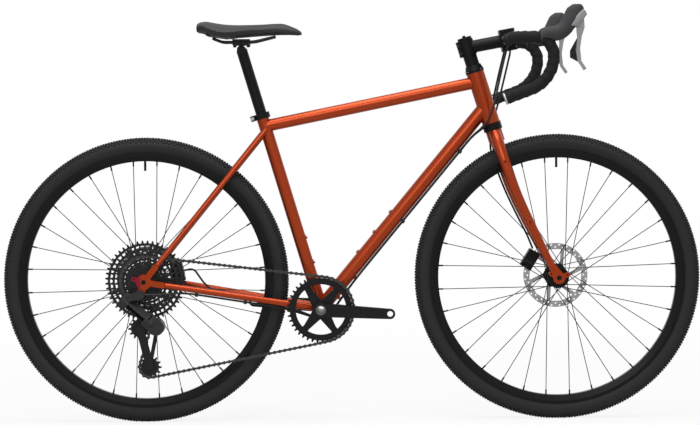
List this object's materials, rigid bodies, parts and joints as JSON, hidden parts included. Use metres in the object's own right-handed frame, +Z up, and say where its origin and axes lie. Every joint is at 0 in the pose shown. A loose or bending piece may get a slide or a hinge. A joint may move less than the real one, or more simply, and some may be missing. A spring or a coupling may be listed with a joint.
{
  "type": "gravel bike",
  "caption": "Gravel bike with a steel frame and fork, drop handlebar, disc brakes, wide knobbly tyres, single-ring crankset, wide-range cassette and clutch derailleur, without pedals.",
  "frame": {"origin": "on the ground, midway between the two axles, in the bike's middle plane", "axes": "+X forward along the bike, +Y to the rider's left, +Z up; the drive side faces -Y"},
  "size_m": [1.722, 0.4642, 1.0144],
  "materials": {
    "frame_paint": "glossy burnt orange metallic paint on steel",
    "black_alloy": "black anodised",
    "grey_alloy": "grey anodised",
    "steel": "bright steel",
    "black_steel": "black coated steel",
    "tyre_rubber": "black tyre rubber",
    "hood_rubber": "dark grey rubber",
    "hose_plastic": "black hose",
    "black_plastic": "black plastic",
    "plug_plastic": "light grey plastic",
    "tape_cork": "black foam tape",
    "saddle_leather": "black padded cover"
  },
  "bodies": {
    "frame": {"head_tube": "frame_paint", "top_tube": "frame_paint", "down_tube": "frame_paint", "seat_tube": "frame_paint", "bottom_bracket_shell": "frame_paint", "dropouts": "frame_paint", "chainstays": "frame_paint", "seatstays": "frame_paint", "bearing_cups": "black_alloy", "rear_axle": "black_alloy", "rear_caliper": "black_alloy", "seat_collar": "black_alloy", "frame_bolts": "steel", "derailleur_mount": "black_alloy", "rear_brake_hose": "hose_plastic", "shift_housing": "hose_plastic", "cable_guides": "hose_plastic", "chain": "steel"},
    "steering": {"fork": "frame_paint", "headset_spacers": "black_alloy", "stem": "black_alloy", "stem_faceplate": "black_alloy", "steering_bolts": "steel", "handlebar": "black_alloy", "bar_tape": "tape_cork", "bar_plugs": "plug_plastic", "hood_right": "hood_rubber", "hood_left": "hood_rubber", "front_axle": "black_alloy", "front_caliper": "black_alloy", "front_brake_hose": "hose_plastic", "cable_loops": "hose_plastic"},
    "front_wheel": {"front_tyre": "tyre_rubber", "front_rim": "black_alloy", "front_spokes": "black_steel", "front_hub": "black_alloy", "front_rotor": "steel"},
    "rear_wheel": {"rear_tyre": "tyre_rubber", "rear_rim": "black_alloy", "rear_spokes": "black_steel", "rear_hub": "black_alloy", "rear_rotor": "steel"},
    "cassette": {"cassette": "steel"},
    "crankset": {"crank_right": "black_alloy", "crank_left": "black_alloy", "chainring": "black_alloy"},
    "derailleur_outer_link": {"derailleur_outer_link": "black_alloy"},
    "derailleur_inner_link": {"derailleur_inner_link": "black_alloy"},
    "derailleur_knuckle": {"derailleur_knuckle": "black_alloy"},
    "derailleur_cage": {"derailleur_cage": "black_alloy"},
    "guide_pulley": {"guide_pulley": "black_plastic"},
    "tension_pulley": {"tension_pulley": "black_plastic"},
    "brake_lever_right": {"brake_lever_right": "grey_alloy"},
    "brake_lever_left": {"brake_lever_left": "grey_alloy"},
    "shift_paddle": {"shift_paddle": "black_plastic"},
    "seatpost": {"seatpost": "black_alloy", "seatpost_clamp": "black_alloy", "saddle_rails": "black_steel", "saddle_shell": "black_plastic", "saddle_cover": "saddle_leather"}
  },
  "joints": [
    {"name": "steer", "type": "hinge", "parent": "frame", "child": "steering", "pos_m": [0.46712, 0, 0.352], "axis": [-0.2965, 0, 0.955], "range_deg": [-45, 45], "deforming": ["cable_loops"]},
    {"name": "front_wheel_spin", "type": "hinge", "parent": "steering", "child": "front_wheel", "pos_m": [0.509, 0, 0.352], "axis": [0, 1, 0], "continuous": true},
    {"name": "rear_wheel_spin", "type": "hinge", "parent": "frame", "child": "rear_wheel", "pos_m": [-0.509, 0, 0.352], "axis": [0, 1, 0], "continuous": true},
    {"name": "crank_spin", "type": "hinge", "parent": "frame", "child": "crankset", "pos_m": [-0.07626, 0, 0.2793], "axis": [0, 1, 0], "continuous": true, "deforming": ["chain"]},
    {"name": "cassette_spin", "type": "hinge", "parent": "frame", "child": "cassette", "pos_m": [-0.509, 0, 0.352], "axis": [0, 1, 0], "continuous": true, "deforming": ["chain"]},
    {"name": "derailleur_shift", "type": "hinge", "parent": "frame", "child": "derailleur_outer_link", "pos_m": [-0.54382, -0.0853, 0.3075], "axis": [0.4731, 0.7071, 0.5255], "range_deg": [-36, 14], "deforming": ["chain"]},
    {"name": "derailleur_inner_swing", "type": "hinge", "parent": "frame", "child": "derailleur_inner_link", "pos_m": [-0.55092, -0.0747, 0.29962], "axis": [0.4731, 0.7071, 0.5255], "range_deg": [-36, 14]},
    {"name": "derailleur_knuckle_swing", "type": "hinge", "parent": "derailleur_outer_link", "child": "derailleur_knuckle", "pos_m": [-0.49775, -0.0853, 0.26602], "axis": [0.4731, 0.7071, 0.5255], "range_deg": [-14, 36]},
    {"name": "derailleur_cage_swing", "type": "hinge", "parent": "derailleur_knuckle", "child": "derailleur_cage", "pos_m": [-0.479, 0, 0.242], "axis": [0, -1, 0], "range_deg": [-36, 14], "deforming": ["chain"]},
    {"name": "guide_pulley_spin", "type": "hinge", "parent": "derailleur_cage", "child": "guide_pulley", "pos_m": [-0.523, -0.03832, 0.236], "axis": [0, 1, 0], "continuous": true, "deforming": ["chain"]},
    {"name": "tension_pulley_spin", "type": "hinge", "parent": "derailleur_cage", "child": "tension_pulley", "pos_m": [-0.49906, -0.03832, 0.13994], "axis": [0, 1, 0], "continuous": true, "deforming": ["chain"]},
    {"name": "brake_pull_right", "type": "hinge", "parent": "steering", "child": "brake_lever_right", "pos_m": [0.54114, -0.215, 0.98984], "axis": [0, 1, 0], "range_deg": [0, 12], "stiffness_Nm_per_rad": 0.8, "springref_deg": -17.19},
    {"name": "brake_pull_left", "type": "hinge", "parent": "steering", "child": "brake_lever_left", "pos_m": [0.54114, 0.215, 0.98984], "axis": [0, 1, 0], "range_deg": [0, 12], "stiffness_Nm_per_rad": 0.8, "springref_deg": -17.19},
    {"name": "shift_press", "type": "hinge", "parent": "brake_lever_right", "child": "shift_paddle", "pos_m": [0.53416, -0.215, 0.90428], "axis": [0, 0, -1], "range_deg": [0, 15], "stiffness_Nm_per_rad": 0.1, "springref_deg": -11.46},
    {"name": "seatpost_slide", "type": "slide", "parent": "frame", "child": "seatpost", "axis": [-0.2857, 0, 0.9583], "range_m": [-0.06, 0.04]}
  ],
  "couplings": [
    {"joint": "cassette_spin", "follows": "crank_spin", "ratio": 1.3333},
    {"joint": "guide_pulley_spin", "follows": "crank_spin", "ratio": -3.0769},
    {"joint": "tension_pulley_spin", "follows": "crank_spin", "ratio": 3.0769},
    {"joint": "derailleur_inner_swing", "follows": "derailleur_shift", "ratio": 1},
    {"joint": "derailleur_knuckle_swing", "follows": "derailleur_shift", "ratio": -1},
    {"joint": "derailleur_cage_swing", "follows": "derailleur_shift", "ratio": 1}
  ]
}
